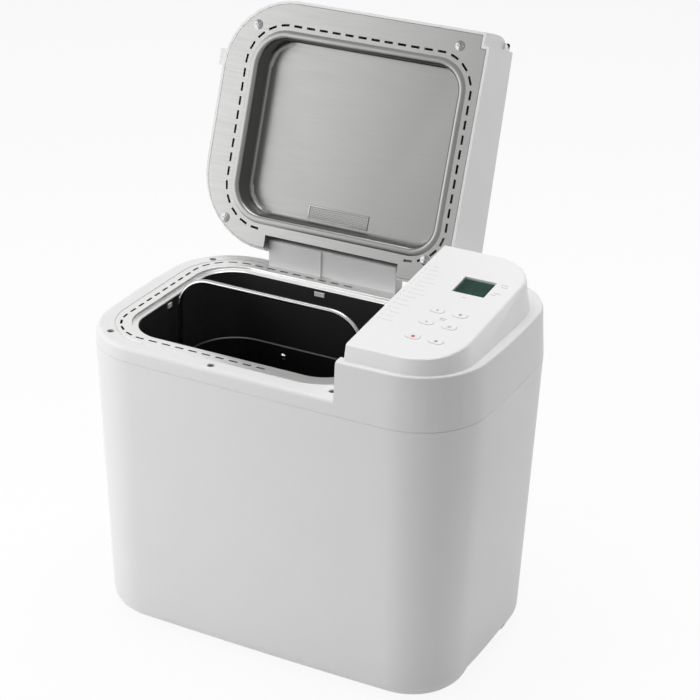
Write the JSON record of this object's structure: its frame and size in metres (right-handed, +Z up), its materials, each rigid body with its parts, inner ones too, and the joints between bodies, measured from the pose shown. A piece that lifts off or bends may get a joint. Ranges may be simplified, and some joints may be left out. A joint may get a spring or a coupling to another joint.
{
  "type": "bread machine",
  "caption": "Tub-shaped bread machine with an open hinged lid, side control block, baking chamber and lift-out pan with bail, kneading paddle and belt drive.",
  "frame": {"origin": "centre of the four feet's footprint, on the worktop under the middle of the housing", "axes": "+Z up; +X to the right as seen from the front, towards the control block; +Y from the front to the rear, where the lid's hinge and the cord gland are"},
  "size_m": [0.3895, 0.3526, 0.5396],
  "materials": {
    "alu_sheet": "satin pressed aluminium",
    "black_plastic": "moulded black plastic",
    "board": "circuit board",
    "bush": "sintered bush",
    "chrome": "bright plated steel",
    "clear_lens": "clear lens",
    "dark_enamel": "dark grey coated sheet",
    "die_cast": "plain die casting",
    "display": "green display",
    "grey_plastic": "moulded grey plastic",
    "heater_steel": "heat-darkened steel tube",
    "non_stick": "black non-stick coating",
    "rubber": "soft rubber",
    "start_key": "satin white key with a pale red ring",
    "steel_sheet": "satin pressed steel sheet",
    "white_key": "satin white key",
    "white_moulding": "fine satin moulded white plastic"
  },
  "bodies": {
    "base": {"lower_housing": "white_moulding", "upper_housing": "white_moulding", "base_plate": "grey_plastic", "foot_front_left": "rubber", "foot_front_right": "rubber", "foot_rear_left": "rubber", "foot_rear_right": "rubber", "cord_gland": "black_plastic", "control_panel": "white_moulding", "lcd_window": "clear_lens", "lcd_module": "display", "control_board": "board", "deck_flange": "alu_sheet", "deck_screws": "steel_sheet", "chamber_can": "dark_enamel", "chamber_tabs": "chrome", "heater_element": "heater_steel", "heater_brackets": "steel_sheet", "temperature_sensor": "steel_sheet", "pan_socket": "steel_sheet", "heat_shield": "steel_sheet", "power_board": "board", "chassis": "steel_sheet", "bearing_housing": "die_cast", "motor": "steel_sheet", "drive_belt": "rubber", "hinge_tower": "white_moulding", "hinge_pin": "chrome"},
    "lid": {"lid_shell": "white_moulding", "lid_plate": "alu_sheet", "lid_dish": "alu_sheet", "lid_vent": "alu_sheet", "lid_screws": "chrome", "lid_knuckles": "white_moulding", "steam_vent": "white_moulding"},
    "pan": {"bread_pan": "non_stick", "pan_base": "die_cast", "pan_bearing": "bush", "pan_rivet": "chrome"},
    "bail": {"pan_handle": "chrome"},
    "paddle": {"pan_shaft": "chrome", "pan_dog": "die_cast", "kneading_paddle": "non_stick"},
    "drive": {"drive_shaft": "chrome", "drive_coupler": "die_cast", "large_pulley": "black_plastic"},
    "rotor": {"motor_shaft": "chrome", "motor_pulley": "black_plastic"},
    "key_1_body": {"key_1": "white_key"},
    "key_2_body": {"key_2": "white_key"},
    "key_3_body": {"key_3": "white_key"},
    "key_4_body": {"key_4": "white_key"},
    "key_start_body": {"key_start": "start_key"},
    "key_stop_body": {"key_stop": "white_key"}
  },
  "joints": [
    {"name": "lid_hinge", "type": "hinge", "parent": "base", "child": "lid", "pos_m": [-0.044, 0.1146, 0.3122], "axis": [1, 0, 0], "range_deg": [0, 109]},
    {"name": "pan_lift", "type": "slide", "parent": "base", "child": "pan", "axis": [0, 0, -1], "range_m": [-0.31, 0]},
    {"name": "bail_swing", "type": "hinge", "parent": "pan", "child": "bail", "pos_m": [-0.0524, 0, 0.222], "axis": [1, 0, 0], "range_deg": [-58, 58]},
    {"name": "drive_spin", "type": "hinge", "parent": "base", "child": "drive", "pos_m": [-0.0524, 0, 0.04], "axis": [0, 0, 1], "continuous": true},
    {"name": "motor_spin", "type": "hinge", "parent": "base", "child": "rotor", "pos_m": [0.1176, 0, 0.04], "axis": [0, 0, 1], "continuous": true},
    {"name": "paddle_spin", "type": "hinge", "parent": "pan", "child": "paddle", "pos_m": [-0.0524, 0, 0.09], "axis": [0, 0, 1], "continuous": true},
    {"name": "key_1_press", "type": "slide", "parent": "base", "child": "key_1_body", "axis": [0, 0.1005, -0.9949], "range_m": [0, 0.0008], "stiffness_N_per_m": 400},
    {"name": "key_2_press", "type": "slide", "parent": "base", "child": "key_2_body", "axis": [0, 0.1005, -0.9949], "range_m": [0, 0.0008], "stiffness_N_per_m": 400},
    {"name": "key_3_press", "type": "slide", "parent": "base", "child": "key_3_body", "axis": [0, 0.1005, -0.9949], "range_m": [0, 0.0008], "stiffness_N_per_m": 400},
    {"name": "key_4_press", "type": "slide", "parent": "base", "child": "key_4_body", "axis": [0, 0.1005, -0.9949], "range_m": [0, 0.0008], "stiffness_N_per_m": 400},
    {"name": "key_start_press", "type": "slide", "parent": "base", "child": "key_start_body", "axis": [0, 0.1005, -0.9949], "range_m": [0, 0.0008], "stiffness_N_per_m": 400},
    {"name": "key_stop_press", "type": "slide", "parent": "base", "child": "key_stop_body", "axis": [0, 0.1005, -0.9949], "range_m": [0, 0.0008], "stiffness_N_per_m": 400}
  ],
  "couplings": [
    {"joint": "motor_spin", "follows": "drive_spin", "ratio": 4.9},
    {"joint": "paddle_spin", "follows": "drive_spin", "ratio": 1}
  ]
}
